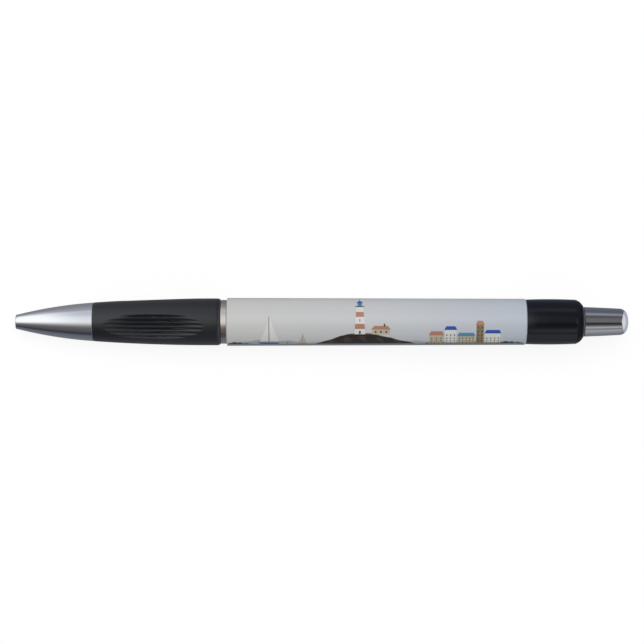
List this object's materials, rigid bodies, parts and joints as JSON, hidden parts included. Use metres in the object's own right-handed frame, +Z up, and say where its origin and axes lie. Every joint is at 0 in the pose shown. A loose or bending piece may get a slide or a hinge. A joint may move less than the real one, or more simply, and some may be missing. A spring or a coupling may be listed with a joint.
{
  "type": "retractable ballpoint pen",
  "caption": "Retractable click ballpoint pen with a bright cone, ribbed rubber grip, printed barrel, black collar with pocket clip and domed push button.",
  "frame": {"origin": "centre of the bounding box's underside, on the tabletop that the pen lies on", "axes": "+X from the tip towards the push button, +Z up, +Y across the pen; the pen's own axis dips towards the tip by 2.31 degrees, because it rests on its clip and on the lowest point of its grip"},
  "size_m": [0.1398, 0.011, 0.0141],
  "materials": {
    "nose_plating": "bright plated brass, slightly satin",
    "core_plastic": "moulded black plastic",
    "grip_rubber": "moulded soft rubber, semi-matte",
    "bush_plating": "bright plated brass",
    "barrel_print": "white plastic with a printed wrap, semi-gloss",
    "collar_plastic": "moulded black plastic, high gloss",
    "clip_plastic": "moulded black plastic, high gloss",
    "button_plating": "bright plated, drawn cap",
    "cam_plastic": "natural acetal",
    "refill_plastic": "extruded translucent plastic",
    "ink": "black ink",
    "point_metal": "turned nickel silver",
    "ball_steel": "polished hard ball",
    "spring_steel": "drawn spring wire"
  },
  "bodies": {
    "pen_body": {"nose_cone": "nose_plating", "front_core": "core_plastic", "grip_sleeve": "grip_rubber", "centre_bush": "bush_plating", "barrel": "barrel_print", "collar": "collar_plastic", "clip": "clip_plastic", "cam_guide": "cam_plastic", "return_spring": "spring_steel"},
    "push_button": {"button": "button_plating", "plunger": "cam_plastic"},
    "refill": {"refill_tube": "refill_plastic", "ink_column": "ink", "writing_point": "point_metal", "rotor": "cam_plastic"},
    "writing_ball": {"ball": "ball_steel"}
  },
  "joints": [
    {"name": "button_press", "type": "slide", "parent": "pen_body", "child": "push_button", "axis": [-0.9992, 0, -0.0403], "range_m": [0, 0.0065], "stiffness_N_per_m": 150, "springref_m": -0.005, "deforming": ["return_spring"]},
    {"name": "refill_slide", "type": "slide", "parent": "pen_body", "child": "refill", "axis": [-0.9992, 0, -0.0403], "range_m": [0, 0.0065]},
    {"name": "ball_roll", "type": "hinge", "parent": "refill", "child": "writing_ball", "pos_m": [-0.06717, 0, 0.00398], "axis": [0, 1, 0], "continuous": true}
  ],
  "couplings": [
    {"joint": "refill_slide", "follows": "button_press", "ratio": 1}
  ]
}
